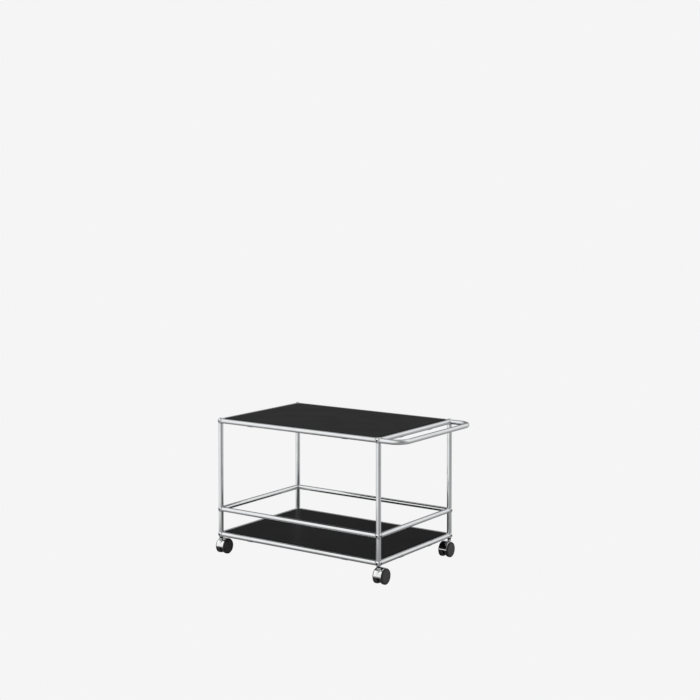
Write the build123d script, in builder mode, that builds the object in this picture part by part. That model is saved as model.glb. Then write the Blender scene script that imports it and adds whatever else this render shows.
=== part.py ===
"""Shelf trolley built from chromed tubes and balls, on four hooded twin-wheel casters.

Axes: X runs along the trolley towards the push handle, Y from the front to the back, Z up.
The origin is on the floor, at the middle of the whole trolley seen from above. Sizes are in
millimetres.
"""
import os
from math import sqrt

from build123d import *

os.makedirs("parts", exist_ok=True)

# ---- Driving dimensions -------------------------------------------------------------------

# Frame grid, ball centre to ball centre
frame_length = 750.0  # along X
frame_depth = 500.0  # along Y
gallery_height = 100.0  # bottom level up to the gallery level
bay_height = 350.0  # gallery level up to the top level

# Tubes and balls
tube_diameter = 19.0
tube_wall = 1.6
tube_gap = 0.2  # between the end of one tube and the side of its neighbour on a ball
tube_end_chamfer = 0.4
ball_facet_diameter = 9.0  # flat spot round each tapped hole
thread_hole_diameter = 6.8  # free tapped hole, modelled at its core size
thread_mean_diameter = 7.2  # tapped hole with a screw in it, at the thread's mean size
thread_hole_end = 4.0  # bottom of each hole, measured from the ball's centre
hole_chamfer = 0.4

# Screw and split plug inside each tube end
screw_clearance = 0.05  # round the screw, in the ball and in the plug
screw_head_diameter = 11.0
screw_head_length = 9.0
screw_cross_hole = 3.0  # key hole through the screw's head
plug_length = 12.0
plug_gap = 0.3  # ball facet to plug
plug_split = 1.2  # width of the plug's slit
plug_clearance = 0.05  # plug to tube bore
key_slot_width = 5.0  # slot in the tube wall over the screw's head
key_slot_length = 10.0

# Push handle
handle_reach = 100.0  # ball centre to the grip's centre line
handle_bend_radius = 50.0

# Shelf panels
sheet_thickness = 1.0
panel_gap = 0.2  # panel fold to tube side
panel_lift = 9.9  # shelf surface above the tube centre line
panel_fold = 14.4  # height of the folded edge
panel_bend_radius = 1.6
panel_corner_radius = 2.5

# Spring clips under the panels
clip_sheet = 0.8
clip_length = 24.0
clip_gap = 0.1  # clip to tube, and clip to panel
clip_leg = 7.0  # length of the leg inside the fold
clip_hook = 5.0  # how far the hook reaches past the tube's lowest line
clip_inset = 150.0  # ball centre to the middle of the nearest clip

# Casters
wheel_diameter = 58.0
caster_trail = 20.0  # stem axis to axle, seen from above
caster_width = 42.6  # over the two wheels
web_thickness = 8.0  # housing web between the two wheels
hood_width = 33.0
hood_thickness = 1.2
hood_clearance = 0.8  # tyre to hood
hood_back_rise = 3.0  # lower edge of the hood above the axle, on the trailing side
hood_rim_height = 3.0
hood_rim_thickness = 0.6
hood_edge_radius = 0.5
boss_edge_radius = 1.0
boss_diameter = 13.6
rib_foot_diameter = 3.0
boss_rise = 4.1  # top of the stem boss above the hood's highest line
rib_foot_rise = 3.2  # foot of the rib on the hood's nose, above the axle
axle_boss_diameter = 15.0

# Caster stem, axle and wheels
collar_diameter = 15.0
collar_height = 3.6
collar_chamfer = 0.5
stem_diameter = 8.0
stem_roof = 2.0  # metal between the end of the stem's journal and the wheel space
stem_tail_diameter = 5.0
stem_tail_length = 9.0
running_clearance = 0.05  # stem in housing, wheel on axle
end_clearance = 0.35  # collar to housing, wheel hub to web, snap bead to groove
snap_groove_width = 2.0  # in the stem's tail and in both ends of the axle
snap_groove_depth = 0.4
snap_groove_inset = 2.5  # pin's end to the groove's middle
axle_diameter = 6.0
hub_diameter = 14.0
wheel_side_clearance = 0.8  # tyre and rim to web
disc_thickness = 2.5
disc_bevel = 1.3
rim_wall = 2.0
shoulder_drop = 7.0  # tread down to the end of the wheel's rounded shoulder, at its inner face
tyre_width = 8.0
tyre_thickness = 3.5
tyre_edge_radius = 0.8
tyre_inset = 0.5  # tyre's side inside the wheel's flat face
tyre_step = 0.4  # shoulder's crown below the tread

# ---- Positions worked out from the driving dimensions ---------------------------------------

tube_radius = tube_diameter / 2
bore_radius = tube_radius - tube_wall
wheel_radius = wheel_diameter / 2
shoulder_radius = wheel_radius - shoulder_drop

# Seen from a ball's centre: a tube's end stands just clear of its neighbours' sides, and the
# ball is as large as it takes to fill the tube's bore there.
tube_seat = tube_radius + tube_gap
ball_radius = sqrt(tube_seat**2 + bore_radius**2)
facet_height = sqrt(ball_radius**2 - (ball_facet_diameter / 2) ** 2)
plug_start = facet_height + plug_gap
head_start = plug_start + plug_length
head_middle = head_start + screw_head_length / 2


# Heights in a caster, measured down from its ball's centre
hood_inner_radius = wheel_radius + hood_clearance
hood_radius = hood_inner_radius + hood_thickness
collar_bottom = facet_height + collar_height
boss_top = collar_bottom + end_clearance
axle_drop = boss_top + boss_rise + hood_radius

bottom_level = axle_drop + wheel_radius
gallery_level = bottom_level + gallery_height
top_level = gallery_level + bay_height
levels = {"bottom": bottom_level, "gallery": gallery_level, "top": top_level}

# The handle stands out further at the right than the casters do at the left, so the frame's
# own middle lies a little to the left of the origin.
frame_middle = (caster_width / 2 - handle_reach - tube_radius) / 2
left = frame_middle - frame_length / 2
right = frame_middle + frame_length / 2
front = -frame_depth / 2
back = frame_depth / 2

corners = {
    "front_left": (left, front),
    "front_right": (right, front),
    "back_left": (left, back),
    "back_right": (right, back),
}


def save(part, name):
    """Label a finished piece and write it to its own file."""
    part.label = name
    export_step(part, f"parts/{name}.step")


# ---- Ball connectors ------------------------------------------------------------------------


def free_sides(level_name, x, y):
    """The sides of a ball that nothing is screwed to."""
    sides = [Vector(0, -1 if y < 0 else 1, 0)]
    if x == left:
        sides.append(Vector(-1, 0, 0))
    elif level_name != "top":
        sides.append(Vector(1, 0, 0))
    if level_name == "top":
        sides.append(Vector(0, 0, 1))
    return sides


def ball_connector(centre, free):
    """A ball with a flat facet and a tapped hole on each of its six sides."""
    with BuildPart() as ball:
        with Locations(centre):
            Sphere(ball_radius)
            Box(2 * facet_height, 2 * facet_height, 2 * facet_height, mode=Mode.INTERSECT)
        for direction in (Vector(1, 0, 0), Vector(0, 1, 0), Vector(0, 0, 1)):
            for normal in (direction, -direction):
                facet = Plane(Vector(*centre) + normal * facet_height, z_dir=normal)
                hole = thread_hole_diameter if normal in free else thread_mean_diameter
                with BuildSketch(facet):
                    Circle(hole / 2)
                extrude(amount=thread_hole_end - facet_height, mode=Mode.SUBTRACT)
                mouth = ball.edges().filter_by(GeomType.CIRCLE).sort_by_distance(facet.origin)[0]
                chamfer(mouth, length=hole_chamfer)
    return ball.part


for level_name, level in levels.items():
    with BuildPart() as balls:
        for x, y in corners.values():
            add(ball_connector((x, y, level), free_sides(level_name, x, y)))
    save(balls.part, f"{level_name}_balls")

# ---- Tubes ----------------------------------------------------------------------------------

# One plane for each tube end: at the ball's centre, Z along the tube, X towards the key slot
tube_ends = []


def key_slot(end):
    """The cutter for the slot in the tube's wall over the screw's head."""
    head_centre = end.from_local_coords(Vector(0, 0, head_middle))
    with BuildPart() as slot:
        with BuildSketch(Plane(head_centre, x_dir=end.z_dir, z_dir=end.x_dir)):
            SlotOverall(key_slot_length, key_slot_width)
        extrude(amount=tube_diameter)
    return slot.part


def straight_tube(start, finish, slot_side):
    """A tube cut square at both ends, seated on a ball at each end."""
    run = Vector(*finish) - Vector(*start)
    near = Plane(start, x_dir=slot_side, z_dir=run)
    far = Plane(finish, x_dir=slot_side, z_dir=-run)
    tube_ends.extend((near, far))
    with BuildPart() as tube:
        with BuildSketch(near.offset(tube_seat)):
            Circle(tube_radius)
            Circle(bore_radius, mode=Mode.SUBTRACT)
        extrude(amount=run.length - 2 * tube_seat)
        rims = tube.edges().filter_by(GeomType.CIRCLE)
        chamfer(rims.group_by(SortBy.RADIUS)[-1], length=tube_end_chamfer)
        add(key_slot(near), mode=Mode.SUBTRACT)
        add(key_slot(far), mode=Mode.SUBTRACT)
    return tube.part


# Posts: the key slots face the back of the trolley
backwards = (0, 1, 0)
for corner_name, (x, y) in corners.items():
    lower_post = straight_tube((x, y, bottom_level), (x, y, gallery_level), backwards)
    save(lower_post, f"lower_post_{corner_name}")
    upper_post = straight_tube((x, y, gallery_level), (x, y, top_level), backwards)
    save(upper_post, f"upper_post_{corner_name}")

# Rails: the key slots face down
rail_runs = {
    "front": ((left, front), (right, front)),
    "back": ((left, back), (right, back)),
    "left": ((left, front), (left, back)),
    "right": ((right, front), (right, back)),
}
for level_name, level in levels.items():
    for side_name, (start, finish) in rail_runs.items():
        rail = straight_tube((*start, level), (*finish, level), (0, 0, -1))
        save(rail, f"{level_name}_rail_{side_name}")

# ---- Push handle ----------------------------------------------------------------------------

# One bent tube between the free right-hand holes of the two top balls
handle_front = Plane((right, front, top_level), x_dir=(0, 0, -1), z_dir=(1, 0, 0))
handle_back = Plane((right, back, top_level), x_dir=(0, 0, -1), z_dir=(1, 0, 0))
tube_ends.extend((handle_front, handle_back))
grip_line = right + handle_reach
with BuildPart() as push_handle:
    with BuildLine() as handle_path:
        FilletPolyline(
            (right + tube_seat, front, top_level),
            (grip_line, front, top_level),
            (grip_line, back, top_level),
            (right + tube_seat, back, top_level),
            radius=handle_bend_radius,
        )
    with BuildSketch(handle_front.offset(tube_seat)):
        Circle(tube_radius)
        Circle(bore_radius, mode=Mode.SUBTRACT)
    sweep(path=handle_path.wires()[0])
    end_rims = push_handle.edges().filter_by(GeomType.CIRCLE).group_by(Axis.X)[0]
    chamfer(end_rims.group_by(SortBy.RADIUS)[-1], length=tube_end_chamfer)
    add(key_slot(handle_front), mode=Mode.SUBTRACT)
    add(key_slot(handle_back), mode=Mode.SUBTRACT)
save(push_handle.part, "push_handle")

# ---- Screws and split plugs inside the tube ends --------------------------------------------

# Both are turned about the tube's axis, measured from the ball's centre
shank_radius = thread_mean_diameter / 2 - screw_clearance
shank_start = thread_hole_end + end_clearance
with BuildPart() as tube_screw:
    with BuildSketch(Plane.XY.offset(shank_start)):
        Circle(shank_radius)
    extrude(amount=head_start - shank_start)
    with BuildSketch(Plane.XY.offset(head_start)):
        Circle(screw_head_diameter / 2)
    extrude(amount=screw_head_length)
    with BuildSketch(Plane.YZ.offset(-screw_head_diameter)):
        with Locations((0, head_middle)):
            Circle(screw_cross_hole / 2)
    extrude(amount=2 * screw_head_diameter, mode=Mode.SUBTRACT)

with BuildPart() as tube_plug:
    with BuildSketch(Plane.XY.offset(plug_start)):
        Circle(bore_radius - plug_clearance)
        Circle(thread_mean_diameter / 2, mode=Mode.SUBTRACT)
        with Locations((0, bore_radius)):
            Rectangle(plug_split, 2 * bore_radius, mode=Mode.SUBTRACT)
    extrude(amount=plug_length)

with BuildPart() as tube_screws:
    with Locations(*tube_ends):
        add(tube_screw.part)
save(tube_screws.part, "tube_screws")

with BuildPart() as tube_plugs:
    with Locations(*tube_ends):
        add(tube_plug.part)
save(tube_plugs.part, "tube_plugs")

# ---- Shelf panels ---------------------------------------------------------------------------

panel_edge = tube_radius + panel_gap  # tube centre line to the panel's fold
for level_name in ("bottom", "top"):
    surface = levels[level_name] + panel_lift
    with BuildPart() as panel:
        with BuildSketch(Plane((frame_middle, 0, surface))):
            Rectangle(frame_length - 2 * panel_edge, frame_depth - 2 * panel_edge)
        extrude(amount=-panel_fold)
        fillet(panel.edges().filter_by(Axis.Z), radius=panel_corner_radius)
        fillet(panel.faces().sort_by(Axis.Z)[-1].edges(), radius=panel_bend_radius)
        offset(amount=-sheet_thickness, openings=panel.faces().sort_by(Axis.Z)[0])
    save(panel.part, f"{level_name}_panel")

# ---- Spring clips under the panels ----------------------------------------------------------

# Profile seen along the rail: the rail's centre is (0, 0) and the panel lies towards +X
hook_radius = tube_radius + clip_gap
foot_top = panel_lift - panel_fold - clip_gap
foot_bottom = foot_top - clip_sheet
foot_start = sqrt(hook_radius**2 - foot_top**2)
leg_start = panel_edge + sheet_thickness + clip_gap
leg_end = leg_start + clip_sheet


def spring_clip(place):
    """A bent strip: a hook round the rail's underside and a leg inside the panel's fold."""
    with BuildPart() as clip:
        with BuildSketch(place.offset(-clip_length / 2)):
            Circle(hook_radius + clip_sheet)
            Circle(hook_radius, mode=Mode.SUBTRACT)
            with Locations((-clip_hook, foot_top)):
                Rectangle(
                    clip_hook + leg_end,
                    2 * tube_diameter,
                    align=(Align.MIN, Align.MAX),
                    mode=Mode.INTERSECT,
                )
            with Locations((foot_start, foot_bottom)):
                Rectangle(leg_end - foot_start, clip_sheet, align=Align.MIN)
            with Locations((leg_start, foot_bottom)):
                Rectangle(clip_sheet, clip_leg, align=Align.MIN)
        extrude(amount=clip_length)
    return clip.part


def clip_places(level):
    """A plane for each clip of one panel, X towards the panel and Y up."""
    reach_x = frame_length / 2 - clip_inset
    reach_y = frame_depth / 2 - clip_inset
    places = []
    for side in (1, -1):
        for x in (frame_middle - reach_x, frame_middle + reach_x):
            places.append(Plane((x, front * side, level), x_dir=(0, side, 0), z_dir=(side, 0, 0)))
        rail_x = left if side > 0 else right
        for y in (-reach_y, reach_y):
            places.append(Plane((rail_x, y, level), x_dir=(side, 0, 0), z_dir=(0, -side, 0)))
    return places


for level_name in ("bottom", "top"):
    with BuildPart() as panel_clips:
        for place in clip_places(levels[level_name]):
            add(spring_clip(place))
    save(panel_clips.part, f"{level_name}_panel_clips")

# ---- Casters --------------------------------------------------------------------------------

# Each caster hangs from a seat plane at the centre of its bottom ball: seat X runs along the
# axle and seat Y points from the stem towards the axle. Heights below are under that centre.
stem_radius = stem_diameter / 2
tail_radius = stem_tail_diameter / 2
axle_radius = axle_diameter / 2
wheel_space_top = sqrt(hood_inner_radius**2 - (caster_trail - stem_radius) ** 2)
stem_step = axle_drop - wheel_space_top - stem_roof
stem_end = stem_step + stem_tail_length

# The housing's bore for the stem, from the top down: start, end and radius of each step
snap_bead_width = snap_groove_width - 2 * end_clearance
snap_bead_lift = running_clearance - snap_groove_depth  # bead's radius less the pin's
bead_top = stem_end - snap_groove_inset - snap_bead_width / 2
bead_end = bead_top + snap_bead_width
bore_steps = (
    (boss_top, stem_step + end_clearance, stem_radius + running_clearance),
    (stem_step, bead_top, tail_radius + running_clearance),
    (bead_top, bead_end, tail_radius + snap_bead_lift),
    (bead_end, stem_end + end_clearance, tail_radius + running_clearance),
)

# The rib starts where the boss meets the hood
rib_top = axle_drop - sqrt(hood_radius**2 - caster_trail**2)
rib_foot = axle_drop - rib_foot_rise
rib_foot_y = caster_trail - sqrt(hood_radius**2 - rib_foot_rise**2) + rib_foot_diameter / 2

# Along the axle, from the middle of the housing outwards
hub_face = web_thickness / 2 + end_clearance
rim_face = web_thickness / 2 + wheel_side_clearance
wheel_face = caster_width / 2
disc_face = wheel_face - disc_thickness
tyre_face = wheel_face - tyre_inset
tyre_start = tyre_face - tyre_width
axle_end = disc_face - end_clearance
groove_middle = axle_end - snap_groove_inset


def across(seat, offset):
    """A plane square to the axle and centred on it: X points away from the stem, Y up."""
    centre = seat.from_local_coords(Vector(offset, caster_trail, -axle_drop))
    return Plane(centre, x_dir=seat.y_dir, z_dir=seat.x_dir)


def caster_stem(seat):
    """A turned pin: thread into the ball, collar, swivel journal and a grooved tail."""
    with BuildPart() as stem:
        with BuildSketch(seat.offset(-shank_start)):
            Circle(shank_radius)
        extrude(amount=shank_start - facet_height)
        with BuildSketch(seat.offset(-facet_height)):
            Circle(collar_diameter / 2)
        extrude(amount=-collar_height)
        collar_rims = stem.edges().filter_by(GeomType.CIRCLE).group_by(SortBy.RADIUS)[-1]
        chamfer(collar_rims, length=collar_chamfer)
        with BuildSketch(seat.offset(-collar_bottom)):
            Circle(stem_radius)
        extrude(amount=collar_bottom - stem_step)
        with BuildSketch(seat.offset(-stem_step)):
            Circle(tail_radius)
        extrude(amount=-stem_tail_length)
        with BuildSketch(seat.offset(snap_groove_inset + snap_groove_width / 2 - stem_end)):
            Circle(tail_radius)
            Circle(tail_radius - snap_groove_depth, mode=Mode.SUBTRACT)
        extrude(amount=-snap_groove_width, mode=Mode.SUBTRACT)
    return stem.part


def caster_housing(seat):
    """A cast half-round hood with a web between the wheels, a stem boss and a nose rib."""
    with BuildPart() as housing:
        # Hood shell, with its thicker rim on the trailing side
        with BuildSketch(across(seat, -hood_width / 2)):
            Circle(hood_radius)
            with BuildLine():
                Polyline(
                    (-2 * hood_radius, 0),
                    (0, 0),
                    (wheel_radius, hood_back_rise),
                    (2 * hood_radius, hood_back_rise),
                    (2 * hood_radius, 2 * hood_radius),
                    (-2 * hood_radius, 2 * hood_radius),
                    close=True,
                )
            make_face(mode=Mode.INTERSECT)
        extrude(amount=hood_width)
        fillet(housing.edges().filter_by(GeomType.CIRCLE), radius=hood_edge_radius)
        with BuildSketch(across(seat, -hood_width / 2)):
            Circle(hood_radius + hood_rim_thickness)
            with Locations((0, hood_back_rise)):
                Rectangle(
                    2 * hood_radius, hood_rim_height, align=Align.MIN, mode=Mode.INTERSECT
                )
        extrude(amount=hood_width)

        # Stem boss and the rib that tapers from it down the hood's nose
        with BuildSketch(seat.offset(-rib_top)):
            Circle(boss_diameter / 2)
        extrude(amount=rib_top - boss_top)
        boss_rim = housing.edges().filter_by(GeomType.CIRCLE).sort_by(Axis.Z)[-1]
        fillet(boss_rim, radius=boss_edge_radius)
        with BuildSketch(seat.offset(-rib_top)):
            Circle(boss_diameter / 2)
        with BuildSketch(seat.offset(-rib_foot)):
            with Locations((0, rib_foot_y)):
                Circle(rib_foot_diameter / 2)
        loft()

        # Room for the wheels on both sides of the web
        for side in (1, -1):
            with BuildSketch(across(seat, side * web_thickness / 2)):
                Circle(hood_inner_radius)
            extrude(amount=side * caster_width, mode=Mode.SUBTRACT)

        # Boss round the axle, below the web
        with BuildSketch(across(seat, -web_thickness / 2)):
            Circle(axle_boss_diameter / 2)
        extrude(amount=web_thickness)
        with BuildSketch(across(seat, -web_thickness / 2)):
            Circle(axle_radius)
        extrude(amount=web_thickness, mode=Mode.SUBTRACT)

        # Stepped bore for the stem; it narrows to a bead that snaps into the stem's groove
        for top, end, radius in bore_steps:
            with BuildSketch(seat.offset(-top)):
                Circle(radius)
            extrude(amount=top - end, mode=Mode.SUBTRACT)
    return housing.part


def caster_axle(seat):
    """A plain pin, pressed into the housing, with a snap groove near each end."""
    with BuildPart() as axle:
        with BuildSketch(across(seat, -axle_end)):
            Circle(axle_radius)
        extrude(amount=2 * axle_end)
        chamfer(axle.edges().filter_by(GeomType.CIRCLE), length=snap_groove_depth)
        for side in (1, -1):
            with BuildSketch(across(seat, side * groove_middle - snap_groove_width / 2)):
                Circle(axle_radius)
                Circle(axle_radius - snap_groove_depth, mode=Mode.SUBTRACT)
            extrude(amount=snap_groove_width, mode=Mode.SUBTRACT)
    return axle.part


def caster_wheel(seat, side):
    """A moulded dish wheel: flat disc, seat for the tyre, rounded shoulder and blind hub."""
    centre = across(seat, 0)
    section = Plane(centre.origin, x_dir=seat.x_dir * side, z_dir=seat.y_dir * -side)
    bore = axle_radius + running_clearance
    bead = axle_radius + snap_bead_lift
    hub = hub_diameter / 2
    rim = wheel_radius - tyre_thickness
    crown = wheel_radius - tyre_step
    with BuildPart() as wheel:
        with BuildSketch(section):
            with BuildLine():
                Polyline(
                    (hub_face, bore),
                    (groove_middle - snap_bead_width / 2, bore),
                    (groove_middle - snap_bead_width / 2, bead),
                    (groove_middle + snap_bead_width / 2, bead),
                    (groove_middle + snap_bead_width / 2, bore),
                    (disc_face, bore),
                    (disc_face, 0),
                    (wheel_face, 0),
                    (wheel_face, rim - disc_bevel),
                    (wheel_face - disc_bevel, rim),
                    (tyre_start, rim),
                    (tyre_start, crown),
                )
                TangentArc((tyre_start, crown), (rim_face, shoulder_radius), tangent=(-1, 0))
                Polyline(
                    (rim_face, shoulder_radius),
                    (rim_face, shoulder_radius - rim_wall),
                    (disc_face, rim - rim_wall),
                    (disc_face, hub),
                    (hub_face, hub),
                    (hub_face, bore),
                )
            make_face()
        revolve(axis=Axis(centre.origin, seat.x_dir))
    return wheel.part


def caster_tyre(seat, side):
    """A ring of rubber round the outer half of the wheel, with softened edges."""
    with BuildPart() as tyre:
        with BuildSketch(across(seat, side * tyre_start)):
            Circle(wheel_radius)
        extrude(amount=side * tyre_width)
        fillet(tyre.edges().filter_by(GeomType.CIRCLE), radius=tyre_edge_radius)
        with BuildSketch(across(seat, side * tyre_start)):
            Circle(wheel_radius - tyre_thickness)
        extrude(amount=side * tyre_width, mode=Mode.SUBTRACT)
    return tyre.part


# The axles lie inwards of the stems: front casters trail to the back, back ones to the front
for corner_name, (x, y) in corners.items():
    inward = 1 if y < 0 else -1
    seat = Plane((x, y, bottom_level), x_dir=(inward, 0, 0))
    save(caster_stem(seat), f"{corner_name}_caster_stem")
    save(caster_housing(seat), f"{corner_name}_caster_housing")
    save(caster_axle(seat), f"{corner_name}_caster_axle")
    for side_name, toward in (("left", -1), ("right", 1)):
        side = toward * inward
        save(caster_wheel(seat, side), f"{corner_name}_{side_name}_wheel")
        save(caster_tyre(seat, side), f"{corner_name}_{side_name}_tyre")
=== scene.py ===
"""Tube-and-ball shelf trolley: looks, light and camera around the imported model, in metres."""
from math import radians

import bpy
from mathutils import Matrix, Vector


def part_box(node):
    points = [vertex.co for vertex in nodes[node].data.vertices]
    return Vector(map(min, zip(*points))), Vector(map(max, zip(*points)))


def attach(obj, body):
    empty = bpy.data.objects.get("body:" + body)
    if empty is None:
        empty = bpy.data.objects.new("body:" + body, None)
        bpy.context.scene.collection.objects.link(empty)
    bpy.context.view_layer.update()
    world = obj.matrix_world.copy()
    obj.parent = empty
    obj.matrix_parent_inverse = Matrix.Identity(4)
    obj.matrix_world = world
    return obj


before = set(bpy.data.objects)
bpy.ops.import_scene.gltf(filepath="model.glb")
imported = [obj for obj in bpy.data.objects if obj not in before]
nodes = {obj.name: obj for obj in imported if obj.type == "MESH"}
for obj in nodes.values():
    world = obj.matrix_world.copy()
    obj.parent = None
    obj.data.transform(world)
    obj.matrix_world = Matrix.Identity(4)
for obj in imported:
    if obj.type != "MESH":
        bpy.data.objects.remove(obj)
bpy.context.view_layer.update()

# ---- Studio -------------------------------------------------------------------------------
# A pale seamless floor that runs into an equally pale background, one soft dome of light that
# is bright overhead and dull near the ground, and a long lens a little above the top shelf.

WHITE = (1.0, 1.0, 1.0, 1.0)
PAPER_WHITE = (0.913, 0.913, 0.913, 1.0)

FLOOR_SIZE = 200.0
FLOOR_GLOW = 0.33  # glow of the open floor, as the trolley sees it
FLOOR_GLOW_UNDER = 0.10  # the same where the trolley stands over it
SHADE_REACH = 0.60  # how far off the trolley still darkens the floor
SHADE_FULL = 0.3  # share of open sky at which the floor is at its darkest
SHADE_SAMPLES = 4
MAT_INNER = 0.60  # distance from the origin at which the glow begins to fade, and where it is gone
MAT_OUTER = 1.20

ROOM_LEVELS = (  # glow of the room itself, from straight down (0) to straight up (1)
    (0.00, 0.33),
    (0.34, 0.32),
    (0.50, 0.21),
    (0.68, 0.23),
    (0.95, 0.42),
)
WALLS = (  # bright walls: bearing, strength, how far round it reaches, and where its foot fades in
    ((-0.53, -0.85, 0.0), 0.78, 0.0, -0.62, -0.05),
    ((0.71, 0.70, 0.0), 0.29, 0.35, -0.62, -0.05),
    ((0.51, 0.86, 0.0), 0.38, 0.55, -0.16, 0.10),
)
WALL_BROW = 0.72  # height at which the walls begin to fade, and where they are gone
WALL_CROWN = 1.0

CAMERA_PLACE = (3.0276, -4.2650, 1.4052)
CAMERA_YAW = 35.115
CAMERA_DIP = 1.968
CAMERA_ANGLE = 29.267
CAMERA_SHIFT = -0.15
CAMERA_REACH = 400.0


def new_node(tree, kind, **settings):
    """Adds a shader node; a setting names a property, or an input when it starts with in_."""
    node = tree.nodes.new(kind)
    for name, value in settings.items():
        if name.startswith("in_"):
            node.inputs[name[3:].replace("_", " ")].default_value = value
        else:
            setattr(node, name, value)
    return node


def remap(tree, value, low=0.0, high=1.0, start=0.0, end=1.0, ease="LINEAR"):
    """Turns the range from low to high into start to end, and holds it at both ends."""
    node = new_node(
        tree, "ShaderNodeMapRange", interpolation_type=ease,
        in_From_Min=low, in_From_Max=high, in_To_Min=start, in_To_Max=end,
    )
    tree.links.new(value, node.inputs["Value"])
    return node.outputs["Result"]


def work_out(tree, operation, *values):
    """One sum on single values, each the output of a node or a plain number."""
    node = new_node(tree, "ShaderNodeMath", operation=operation)
    for value, socket in zip(values, node.inputs):
        if isinstance(value, bpy.types.NodeSocket):
            tree.links.new(value, socket)
        else:
            socket.default_value = value
    return node.outputs["Value"]


def work_out_vector(tree, operation, vector, other=None):
    """One sum on a vector: the node it makes, with a fixed second vector if one is given."""
    node = new_node(tree, "ShaderNodeVectorMath", operation=operation)
    tree.links.new(vector, node.inputs[0])
    if other is not None:
        node.inputs[1].default_value = other
    return node


def seen_by_camera(tree, elsewhere, camera_view, output_kind):
    """Sends one shader to the camera and another to every other ray."""
    ray = new_node(tree, "ShaderNodeLightPath")
    choose = new_node(tree, "ShaderNodeMixShader")
    out = new_node(tree, output_kind)
    tree.links.new(ray.outputs["Is Camera Ray"], choose.inputs[0])
    tree.links.new(elsewhere, choose.inputs[1])
    tree.links.new(camera_view, choose.inputs[2])
    tree.links.new(choose.outputs[0], out.inputs["Surface"])


def light_dome():
    """Dome of light by direction; the camera sees plain paper white behind everything."""
    world = bpy.data.worlds.new("studio_dome")
    world.use_nodes = True
    tree = world.node_tree
    tree.nodes.clear()
    direction = new_node(tree, "ShaderNodeTexCoord").outputs["Generated"]
    parts = new_node(tree, "ShaderNodeSeparateXYZ")
    tree.links.new(direction, parts.inputs[0])
    height = parts.outputs["Z"]
    level = work_out_vector(tree, "MULTIPLY", direction, (1.0, 1.0, 0.0)).outputs[0]
    bearing = work_out_vector(tree, "NORMALIZE", level).outputs[0]
    room = new_node(tree, "ShaderNodeValToRGB")
    while len(room.color_ramp.elements) < len(ROOM_LEVELS):
        room.color_ramp.elements.new(1.0)
    for stop, (place, glow) in zip(room.color_ramp.elements, ROOM_LEVELS):
        stop.position = place
        stop.color = (glow, glow, glow, 1.0)
    tree.links.new(remap(tree, height, low=-1.0), room.inputs["Fac"])
    brow = remap(tree, height, WALL_CROWN, WALL_BROW, ease="SMOOTHSTEP")
    total = room.outputs["Color"]
    for facing, strength, reach, foot, top in WALLS:
        toward = work_out_vector(tree, "DOT_PRODUCT", bearing, facing).outputs["Value"]
        glow = remap(tree, toward, low=reach, end=strength, ease="SMOOTHSTEP")
        rise = remap(tree, height, foot, top, ease="SMOOTHSTEP")
        band = work_out(tree, "MULTIPLY", rise, brow)
        total = work_out(tree, "MULTIPLY_ADD", glow, band, total)
    dome = new_node(tree, "ShaderNodeBackground", in_Color=WHITE)
    tree.links.new(total, dome.inputs["Strength"])
    paper = new_node(tree, "ShaderNodeBackground", in_Color=PAPER_WHITE)
    seen_by_camera(tree, dome.outputs[0], paper.outputs[0], "ShaderNodeOutputWorld")
    bpy.context.scene.world = world


def paper_material():
    """Paper white to the camera; to all else a glow round the trolley, weakest under it."""
    material = bpy.data.materials.new("paper_floor")
    material.use_nodes = True
    tree = material.node_tree
    tree.nodes.clear()
    open_sky = new_node(
        tree, "ShaderNodeAmbientOcclusion", samples=SHADE_SAMPLES, in_Distance=SHADE_REACH
    )
    glow = new_node(tree, "ShaderNodeEmission", in_Color=WHITE)
    strength = remap(
        tree, open_sky.outputs["AO"], low=SHADE_FULL, start=FLOOR_GLOW_UNDER, end=FLOOR_GLOW
    )
    tree.links.new(strength, glow.inputs["Strength"])
    place = new_node(tree, "ShaderNodeTexCoord").outputs["Object"]
    distance = work_out_vector(tree, "LENGTH", place).outputs["Value"]
    clear = new_node(tree, "ShaderNodeBsdfTransparent")
    bounce = new_node(tree, "ShaderNodeMixShader")
    tree.links.new(remap(tree, distance, MAT_INNER, MAT_OUTER, ease="SMOOTHSTEP"), bounce.inputs[0])
    tree.links.new(glow.outputs[0], bounce.inputs[1])
    tree.links.new(clear.outputs[0], bounce.inputs[2])
    paper = new_node(tree, "ShaderNodeEmission", in_Color=PAPER_WHITE)
    seen_by_camera(tree, bounce.outputs[0], paper.outputs[0], "ShaderNodeOutputMaterial")
    return material


light_dome()
bpy.ops.object.select_all(action="DESELECT")
bpy.ops.mesh.primitive_plane_add(size=FLOOR_SIZE, location=(0, 0, 0))
floor = bpy.context.object
floor.name = "floor"
floor.data.materials.append(paper_material())
bpy.context.scene.view_settings.view_transform = "Standard"

lens = bpy.data.cameras.new("studio_camera")
lens.angle = radians(CAMERA_ANGLE)
lens.shift_y = CAMERA_SHIFT
lens.clip_end = CAMERA_REACH
camera = bpy.data.objects.new("studio_camera", lens)
camera.location = CAMERA_PLACE
camera.rotation_euler = (radians(90 - CAMERA_DIP), 0, radians(CAMERA_YAW))
bpy.context.scene.collection.objects.link(camera)
bpy.context.scene.camera = camera

# ---- Tubes and balls ----------------------------------------------------------------------
# Steel tube and turned balls, polished and chrome plated. Fine polishing lines run along each
# tube, with faint hand smudges over them.

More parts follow.
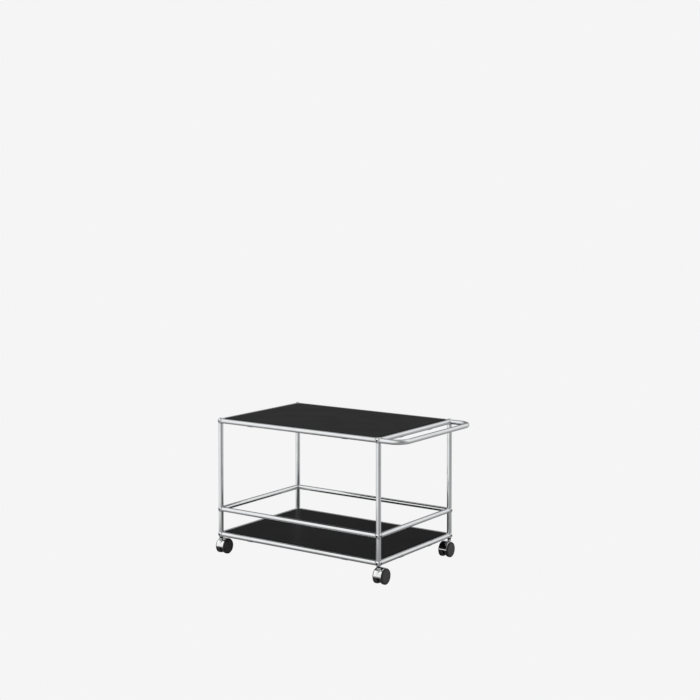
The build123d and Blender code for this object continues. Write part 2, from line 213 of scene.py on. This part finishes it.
CHROME = (0.80, 0.81, 0.82)
SMUDGE_TINT = 0.93  # a smudge keeps this much of the plate's brightness
SMUDGE_SCALE = 22.0
SMUDGE_EDGES = (0.45, 0.75)
LINES_SHARE = 0.35  # how much the polishing lines count beside the smudges
LINES_STRENGTH = 0.04
LINES_DEPTH = 0.00002
LINES_ACROSS = 1500  # polishing lines a metre, across a tube and along it
LINES_ALONG = 2
HANDLE_LINES = (700, 300, 1500)
BALL_LINES = (900, 900, 900)
TUBE_ROUGHNESS = (0.07, 0.20)
BALL_ROUGHNESS = (0.06, 0.16)


def new_material(name):
    """An empty material with its tree, its main shader and the object's own coordinates."""
    material = bpy.data.materials.new(name)
    material.use_nodes = True
    tree = material.node_tree
    shader = tree.nodes["Principled BSDF"]
    place = new_node(tree, "ShaderNodeTexCoord").outputs["Object"]
    return material, tree, shader, place


def noise(tree, place, scale, detail):
    """Cloudy noise with so many lumps a metre; detail is how many finer layers it carries."""
    node = new_node(tree, "ShaderNodeTexNoise", in_Scale=scale, in_Detail=detail)
    tree.links.new(place, node.inputs["Vector"])
    return node.outputs["Fac"]


def drawn_out(tree, place, scale, detail):
    """Noise with its own number of lumps a metre along X, Y and Z, so that it makes lines."""
    stretch = new_node(tree, "ShaderNodeMapping", in_Scale=scale)
    tree.links.new(place, stretch.inputs["Vector"])
    return noise(tree, stretch.outputs["Vector"], 1.0, detail)


def colour_between(tree, shader, amount, first, second):
    """Colours the shader from first to second as the amount goes from 0 to 1."""
    tone = new_node(tree, "ShaderNodeMix", data_type="RGBA")
    tone.inputs["A"].default_value = (*first, 1.0)
    tone.inputs["B"].default_value = (*second, 1.0)
    tree.links.new(amount, tone.inputs["Factor"])
    tree.links.new(tone.outputs["Result"], shader.inputs["Base Color"])


def emboss(tree, shader, height, strength, depth, under=None):
    """Raises the surface by a height pattern, on top of another relief if one is given."""
    relief = new_node(tree, "ShaderNodeBump", in_Strength=strength, in_Distance=depth)
    tree.links.new(height, relief.inputs["Height"])
    if under is not None:
        tree.links.new(under, relief.inputs["Normal"])
    tree.links.new(relief.outputs["Normal"], shader.inputs["Normal"])
    return relief.outputs["Normal"]


def dress(names, material):
    """Gives CAD nodes a material in every slot they have."""
    for name in names:
        for slot in nodes[name].material_slots:
            slot.material = material


def polished_chrome(name, lines, roughness=TUBE_ROUGHNESS):
    """Chrome plate; lines is the fineness of its grain along X, Y and Z, in lines a metre."""
    material, tree, shader, place = new_material(name)
    shader.inputs["Metallic"].default_value = 1.0
    grain = drawn_out(tree, place, lines, detail=3.0)
    smudge = remap(tree, noise(tree, place, SMUDGE_SCALE, detail=5.0), *SMUDGE_EDGES)
    uneven = work_out(tree, "MULTIPLY_ADD", grain, LINES_SHARE, smudge)
    smooth, smudged = roughness
    tree.links.new(remap(tree, uneven, start=smooth, end=smudged), shader.inputs["Roughness"])
    colour_between(tree, shader, smudge, CHROME, (SMUDGE_TINT * part for part in CHROME))
    emboss(tree, shader, grain, LINES_STRENGTH, LINES_DEPTH)
    return material


def tube_chrome(name, axis):
    """Chrome plate for straight tubes that run along one axis: 0, 1 or 2."""
    lines = [LINES_ACROSS] * 3
    lines[axis] = LINES_ALONG
    return polished_chrome(name, lines)


rails = [name for name in nodes if "_rail_" in name]
dress([name for name in nodes if "_post_" in name], tube_chrome("chrome_post", 2))
dress([name for name in rails if name.endswith(("front", "back"))], tube_chrome("chrome_long_rail", 0))
dress([name for name in rails if name.endswith(("left", "right"))], tube_chrome("chrome_short_rail", 1))
dress(["push_handle"], polished_chrome("chrome_handle", HANDLE_LINES))
ball_nodes = [name for name in nodes if name.endswith("_balls")]
dress(ball_nodes, polished_chrome("chrome_ball", BALL_LINES, BALL_ROUGHNESS))

# ---- Shelf panels -------------------------------------------------------------------------
# Folded sheet steel trays, powder coated satin black: a fine orange-peel skin, a little dust
# and a few faint rubbed lines where things have been slid across.

COAT_BLACK = (0.018, 0.018, 0.0185)
COAT_DUST = (0.16, 0.155, 0.15)
COAT_SPECULAR = 0.012
COAT_ROUGHNESS = (0.28, 0.38)
PEEL_SCALE = 650.0
PEEL_STRENGTH = 0.30
PEEL_DEPTH = 0.00004
CLOUD_SCALE = 9.0
RUB_SCALE = (6.0, 260.0, 1.0)  # rubbed lines run along the shelf
RUB_EDGES = (0.60, 0.78)
RUB_SHARE = 0.5  # how much a rubbed line dulls the coat, beside its clouds
RUB_PALENESS = 0.05
WEAR_RANGE = (0.3, 1.0)
SPECK_SCALE = 160.0
SPECK_EDGES = (0.045, 0.02)
SPECK_PALENESS = 0.10


def speckle(tree, place, scale):
    """Distance from the nearest of many scattered points."""
    node = new_node(tree, "ShaderNodeTexVoronoi", in_Scale=scale)
    tree.links.new(place, node.inputs["Vector"])
    return node.outputs["Distance"]


def powder_coat(name):
    """Satin black powder coat over sheet steel."""
    material, tree, shader, place = new_material(name)
    shader.inputs["Specular IOR Level"].default_value = COAT_SPECULAR
    cloud = noise(tree, place, CLOUD_SCALE, detail=6.0)
    rubbed = remap(tree, drawn_out(tree, place, RUB_SCALE, detail=4.0), *RUB_EDGES)
    worn = work_out(tree, "MULTIPLY_ADD", rubbed, RUB_SHARE, cloud)
    tree.links.new(remap(tree, worn, *WEAR_RANGE, *COAT_ROUGHNESS), shader.inputs["Roughness"])
    speck = remap(tree, speckle(tree, place, SPECK_SCALE), *SPECK_EDGES, end=SPECK_PALENESS)
    marks = work_out(tree, "MULTIPLY_ADD", rubbed, RUB_PALENESS, speck)
    colour_between(tree, shader, marks, COAT_BLACK, COAT_DUST)
    emboss(tree, shader, noise(tree, place, PEEL_SCALE, detail=2.0), PEEL_STRENGTH, PEEL_DEPTH)
    return material


dress(["top_panel", "bottom_panel"], powder_coat("panel_coat"))

# ---- Threads in the free ball holes -------------------------------------------------------
# Every side of a ball that carries no tube keeps an open tapped hole: bare steel thread inside,
# coloured near-black as painted shade for the dark inside of the hole, with the crests of the thread just
# catching the light.

LINER_RADIUS = 0.00336  # outside of the liner, just inside the ball's hole
LINER_SIDES = 28
LINER_CREST = 0.00305
LINER_FLOOR = 0.00405  # bottom of the liner, measured from the ball's centre
THREAD_DEPTH = 0.00030
THREAD_PITCH = 0.00125
THREAD_TURNS = 5
MOUTH_RADIUS = 0.00378
MOUTH_DEPTH = 0.00044
MOUTH_LIP = 0.00004
FACES_UP = 0.9  # a face looks up when its normal rises more than this

# painted shade: the near-black thread colours below stand in for the shade inside the free ball holes; the
# noise between them is stains
PAINTED_SHADE_STEEL = (0.010, 0.010, 0.011)
STAINED_STEEL = (0.045, 0.040, 0.036)
OILED_METAL = 0.7
OILED_SPECULAR = 0.3
OILED_ROUGHNESS = (0.38, 0.62)
STAIN_SCALE = 700.0
STEEL_RELIEF = (0.2, 0.00003)  # strength and depth


def painted_shade_thread():
    """Unplated steel inside a tapped hole, coloured near-black as painted shade for the inside of the
    hole.
    """
    material, tree, shader, place = new_material("painted_shade_thread")
    shader.inputs["Metallic"].default_value = OILED_METAL
    shader.inputs["Specular IOR Level"].default_value = OILED_SPECULAR
    stain = noise(tree, place, STAIN_SCALE, detail=4.0)
    colour_between(tree, shader, stain, PAINTED_SHADE_STEEL, STAINED_STEEL)
    smooth, rough = OILED_ROUGHNESS
    tree.links.new(remap(tree, stain, start=smooth, end=rough), shader.inputs["Roughness"])
    emboss(tree, shader, stain, *STEEL_RELIEF)
    return material


def select_alone(piece):
    """Makes one object the only selected one, with none of its faces selected."""
    bpy.ops.object.select_all(action="DESELECT")
    piece.select_set(True)
    bpy.context.view_layer.objects.active = piece
    bpy.ops.object.mode_set(mode="EDIT")
    bpy.ops.mesh.select_mode(type="FACE")
    bpy.ops.mesh.select_all(action="DESELECT")
    bpy.ops.object.mode_set(mode="OBJECT")


def threaded_liner(depth):
    """A cup with a flared mouth at the origin, thread ridges inside and its floor below."""
    sleeve = depth - MOUTH_DEPTH
    bpy.ops.object.select_all(action="DESELECT")
    bpy.ops.mesh.primitive_cylinder_add(
        vertices=LINER_SIDES, radius=LINER_RADIUS, depth=sleeve, location=(0, 0, -MOUTH_DEPTH - sleeve / 2)
    )
    liner = bpy.context.object
    bpy.ops.object.transform_apply(location=True, rotation=True, scale=True)
    select_alone(liner)
    for face in liner.data.polygons:
        face.select = face.normal.z > FACES_UP
    bpy.ops.object.mode_set(mode="EDIT")
    flare = MOUTH_RADIUS / LINER_RADIUS
    bpy.ops.mesh.extrude_region_move(TRANSFORM_OT_translate={"value": (0, 0, MOUTH_DEPTH)})
    bpy.ops.transform.resize(value=(flare, flare, 1.0))
    bpy.ops.mesh.inset(thickness=MOUTH_LIP)
    throat = LINER_CREST / (MOUTH_RADIUS - MOUTH_LIP)
    bpy.ops.mesh.extrude_region_move(TRANSFORM_OT_translate={"value": (0, 0, -MOUTH_DEPTH)})
    bpy.ops.transform.resize(value=(throat, throat, 1.0))
    widen = 1.0 + THREAD_DEPTH / LINER_CREST
    drop = {"value": (0, 0, -THREAD_PITCH / 2)}
    for _ in range(THREAD_TURNS):
        for factor in (widen, 1.0 / widen):
            bpy.ops.mesh.extrude_region_move(TRANSFORM_OT_translate=drop)
            bpy.ops.transform.resize(value=(factor, factor, 1.0))
    bpy.ops.mesh.select_all(action="DESELECT")
    bpy.ops.object.mode_set(mode="OBJECT")
    return liner


def ball_centres():
    """Each ball by level and corner: its centre, its facets' distance and its outer sides."""
    balls = {}
    for level in ("bottom", "gallery", "top"):
        low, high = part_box(f"{level}_balls")
        facet = (high.z - low.z) / 2
        for depth_name, y, y_side in (("front", low.y + facet, -1), ("back", high.y - facet, 1)):
            for width_name, x, x_side in (("left", low.x + facet, -1), ("right", high.x - facet, 1)):
                centre = Vector((x, y, (low.z + high.z) / 2))
                balls[level, f"{depth_name}_{width_name}"] = (centre, facet, x_side, y_side)
    return balls


balls = ball_centres()
facet_height = balls["top", "front_left"][1]
liner_model = threaded_liner(facet_height - LINER_FLOOR)
liner_model.data.materials.append(painted_shade_thread())
for (level, corner), (centre, facet, x_side, y_side) in balls.items():
    open_sides = [("y", Vector((0, y_side, 0)))]
    if x_side < 0 or level != "top":
        open_sides.append(("x", Vector((x_side, 0, 0))))
    if level == "top":
        open_sides.append(("z", Vector((0, 0, 1))))
    for side, out in open_sides:
        mesh = liner_model.data.copy()
        turn = Vector((0, 0, 1)).rotation_difference(out).to_matrix().to_4x4()
        mesh.transform(Matrix.Translation(centre + out * facet) @ turn)
        liner = bpy.data.objects.new(f"thread_{level}_{corner}_{side}", mesh)
        bpy.context.scene.collection.objects.link(liner)
        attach(liner, "frame")
bpy.data.objects.remove(liner_model)

# ---- Screws, plugs and shelf clips --------------------------------------------------------
# Hidden hardware: turned split plugs and zinc plated screws inside the tube ends, and blued
# spring-steel clips hooked round the rails under each shelf.

ZINC = (0.50, 0.50, 0.46)
ZINC_LINES = (900, 900, 900)
ZINC_ROUGHNESS = (0.25, 0.45)
PLUG_STEEL = (0.42, 0.42, 0.43)
PLUG_LINES = (1800, 1800, 1800)
PLUG_ROUGHNESS = (0.22, 0.40)
BLUED_STEEL = (0.07, 0.08, 0.11)
CLIP_LINES = (300, 300, 2500)
CLIP_ROUGHNESS = (0.28, 0.42)
PLATING_SCALE = 140.0  # patches where the plating is uneven
PLATING_TINT = 0.72
UNEVEN_FULL = 0.5  # product of lines and patches that gives the roughest finish


def turned_steel(name, colour, lines, roughness, metal=1.0):
    """Bare or plated steel with turning lines, stains and slightly uneven plating."""
    material, tree, shader, place = new_material(name)
    shader.inputs["Metallic"].default_value = metal
    turning = drawn_out(tree, place, lines, detail=4.0)
    patches = noise(tree, place, PLATING_SCALE, detail=6.0)
    colour_between(tree, shader, patches, colour, (PLATING_TINT * part for part in colour))
    uneven = work_out(tree, "MULTIPLY", turning, patches)
    tree.links.new(remap(tree, uneven, 0.0, UNEVEN_FULL, *roughness), shader.inputs["Roughness"])
    emboss(tree, shader, turning, *STEEL_RELIEF)
    return material


dress(["tube_screws"], turned_steel("zinc_screw", ZINC, ZINC_LINES, ZINC_ROUGHNESS))
dress(["tube_plugs"], turned_steel("turned_plug", PLUG_STEEL, PLUG_LINES, PLUG_ROUGHNESS))
dress(
    ["top_panel_clips", "bottom_panel_clips"],
    turned_steel("blued_spring", BLUED_STEEL, CLIP_LINES, CLIP_ROUGHNESS),
)

# ---- Caster stems and axles ---------------------------------------------------------------
# The stem is blackened steel, screwed up into the ball as far as its collar; the axle is a
# bright ground pin pressed through the housing.

STEM_BLACK = (0.035, 0.035, 0.037)
STEM_LINES = (500, 500, 4000)
STEM_ROUGHNESS = (0.25, 0.42)
STEM_METAL = 0.6
AXLE_STEEL = (0.55, 0.56, 0.57)
AXLE_LINES = (4000, 300, 300)
AXLE_ROUGHNESS = (0.16, 0.30)

corners = ("front_left", "front_right", "back_left", "back_right")
dress(
    [f"{corner}_caster_stem" for corner in corners],
    turned_steel("blackened_stem", STEM_BLACK, STEM_LINES, STEM_ROUGHNESS, STEM_METAL),
)
dress(
    [f"{corner}_caster_axle" for corner in corners],
    turned_steel("ground_axle", AXLE_STEEL, AXLE_LINES, AXLE_ROUGHNESS),
)

# ---- Caster housings ----------------------------------------------------------------------
# Zinc castings, polished and chrome plated: a little less even than the drawn tubes, with
# soft waviness from the casting and dull smears of dust.

CAST_CHROME = (0.86, 0.865, 0.87)
SMEARED_CHROME = (0.74, 0.74, 0.74)
CAST_ROUGHNESS = (0.05, 0.17)
SMEAR_SCALE = 60.0
SMEAR_EDGES = (0.48, 0.72)
WAVE_SCALE = 55.0
WAVE_RELIEF = (0.10, 0.0001)
PIT_SCALE = 420.0
PIT_EDGE = 0.08
PIT_RELIEF = (0.05, 0.00002)


def cast_chrome():
    """Chrome plate over a polished zinc casting."""
    material, tree, shader, place = new_material("chrome_casting")
    shader.inputs["Metallic"].default_value = 1.0
    dull = remap(tree, noise(tree, place, SMEAR_SCALE, detail=6.0), *SMEAR_EDGES)
    smooth, rough = CAST_ROUGHNESS
    tree.links.new(remap(tree, dull, start=smooth, end=rough), shader.inputs["Roughness"])
    colour_between(tree, shader, dull, CAST_CHROME, SMEARED_CHROME)
    pits = remap(tree, speckle(tree, place, PIT_SCALE), high=PIT_EDGE)
    pitted = emboss(tree, shader, pits, *PIT_RELIEF)
    emboss(tree, shader, noise(tree, place, WAVE_SCALE, detail=2.0), *WAVE_RELIEF, under=pitted)
    return material


dress([f"{corner}_caster_housing" for corner in corners], cast_chrome())

# ---- Wheels and tyres ---------------------------------------------------------------------
# Wheels moulded in black nylon with fine rings left by the turned mould; tyres of dull black
# rubber, greyed with floor dust on the tread. Each pattern is centred on its own wheel.

SQUARE_TO_AXLE = (0.0, 1.0, 1.0)  # keeps what lies across the axle and drops what lies along it

NYLON_BLACK = (0.040, 0.040, 0.041)
NYLON_BLOOM = (0.078, 0.078, 0.080)
NYLON_SPECULAR = 0.55
NYLON_COAT = 0.15
NYLON_COAT_ROUGHNESS = 0.30
NYLON_ROUGHNESS = (0.36, 0.58)
NYLON_RELIEF = (0.15, 0.00003)
RING_SCALE = 1400.0
GRAIN_SCALE = 900.0
BLOOM_SCALE = 45.0

RUBBER_BLACK = (0.012, 0.012, 0.012)
RUBBER_DUST = (0.075, 0.072, 0.068)
RUBBER_SPECULAR = 0.35
RUBBER_ROUGHNESS = (0.50, 0.85)
RUBBER_RELIEF = (0.25, 0.00004)
DUST_SCALE = 180.0
SKIN_SCALE = 1600.0
TREAD_DEPTH = 0.0008  # dust clings to this much of the tyre, from the tread inwards


def about_axle(tree, place, centre):
    """Coordinates from the middle of the wheel, and the distance from its axle."""
    middle = work_out_vector(tree, "SUBTRACT", place, centre).outputs[0]
    flat = work_out_vector(tree, "MULTIPLY", middle, SQUARE_TO_AXLE).outputs[0]
    return middle, work_out_vector(tree, "LENGTH", flat).outputs["Value"]


def wheel_nylon(name, centre):
    """Black moulded nylon with rings about the wheel's own axle."""
    material, tree, shader, place = new_material(name)
    shader.inputs["Specular IOR Level"].default_value = NYLON_SPECULAR
    shader.inputs["Coat Weight"].default_value = NYLON_COAT
    shader.inputs["Coat Roughness"].default_value = NYLON_COAT_ROUGHNESS
    middle, radius = about_axle(tree, place, centre)
    rings = new_node(tree, "ShaderNodeTexNoise", noise_dimensions="1D", in_Scale=RING_SCALE)
    tree.links.new(radius, rings.inputs["W"])
    bloom = noise(tree, middle, BLOOM_SCALE, detail=5.0)
    smooth, rough = NYLON_ROUGHNESS
    tree.links.new(remap(tree, bloom, start=smooth, end=rough), shader.inputs["Roughness"])
    colour_between(tree, shader, bloom, NYLON_BLACK, NYLON_BLOOM)
    grain = noise(tree, middle, GRAIN_SCALE, detail=3.0)
    emboss(tree, shader, work_out(tree, "ADD", rings.outputs["Fac"], grain), *NYLON_RELIEF)
    return material


def tyre_rubber(name, centre, tread_radius):
    """Dull black rubber with dust rubbed into the tread."""
    material, tree, shader, place = new_material(name)
    shader.inputs["Specular IOR Level"].default_value = RUBBER_SPECULAR
    middle, radius = about_axle(tree, place, centre)
    tread = remap(tree, radius, tread_radius - TREAD_DEPTH, tread_radius)
    dust = noise(tree, middle, DUST_SCALE, detail=6.0)
    colour_between(tree, shader, work_out(tree, "MULTIPLY", tread, dust), RUBBER_BLACK, RUBBER_DUST)
    smooth, rough = RUBBER_ROUGHNESS
    tree.links.new(remap(tree, dust, start=smooth, end=rough), shader.inputs["Roughness"])
    emboss(tree, shader, noise(tree, middle, SKIN_SCALE, detail=2.0), *RUBBER_RELIEF)
    return material


for corner in corners:
    for side in ("left", "right"):
        low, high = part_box(f"{corner}_{side}_tyre")
        axle_point = (low + high) / 2
        dress([f"{corner}_{side}_wheel"], wheel_nylon(f"nylon_{corner}_{side}", axle_point))
        tread_radius = (high.z - low.z) / 2
        dress([f"{corner}_{side}_tyre"], tyre_rubber(f"rubber_{corner}_{side}", axle_point, tread_radius))
